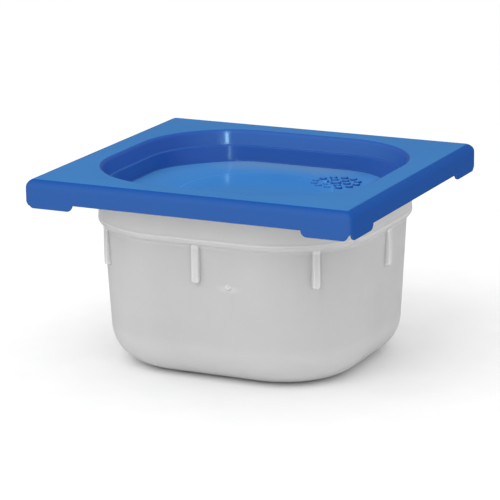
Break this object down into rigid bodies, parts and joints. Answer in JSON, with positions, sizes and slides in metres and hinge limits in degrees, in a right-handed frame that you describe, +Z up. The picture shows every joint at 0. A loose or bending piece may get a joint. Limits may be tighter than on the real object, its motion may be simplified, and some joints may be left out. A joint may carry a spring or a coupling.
{
  "type": "lidded food container",
  "caption": "Gastronorm 1/6 food pan in milky polypropylene, with stacking ribs and a stepped press-on lid that lifts off.",
  "frame": {"origin": "centre of the pan's foot, on the surface it stands on", "axes": "+Z up, +X along the longer side, -Y towards the front"},
  "size_m": [0.18, 0.166, 0.1028],
  "materials": {
    "milky_plastic": "translucent natural polypropylene, satin moulded surface",
    "blue_plastic": "mid blue polypropylene, satin moulded surface"
  },
  "bodies": {
    "pan": {"pan": "milky_plastic"},
    "lid": {"lid": "blue_plastic"}
  },
  "joints": [
    {"name": "lid_lift", "type": "slide", "parent": "pan", "child": "lid", "axis": [0, 0, 1], "range_m": [0, 0.08]}
  ]
}
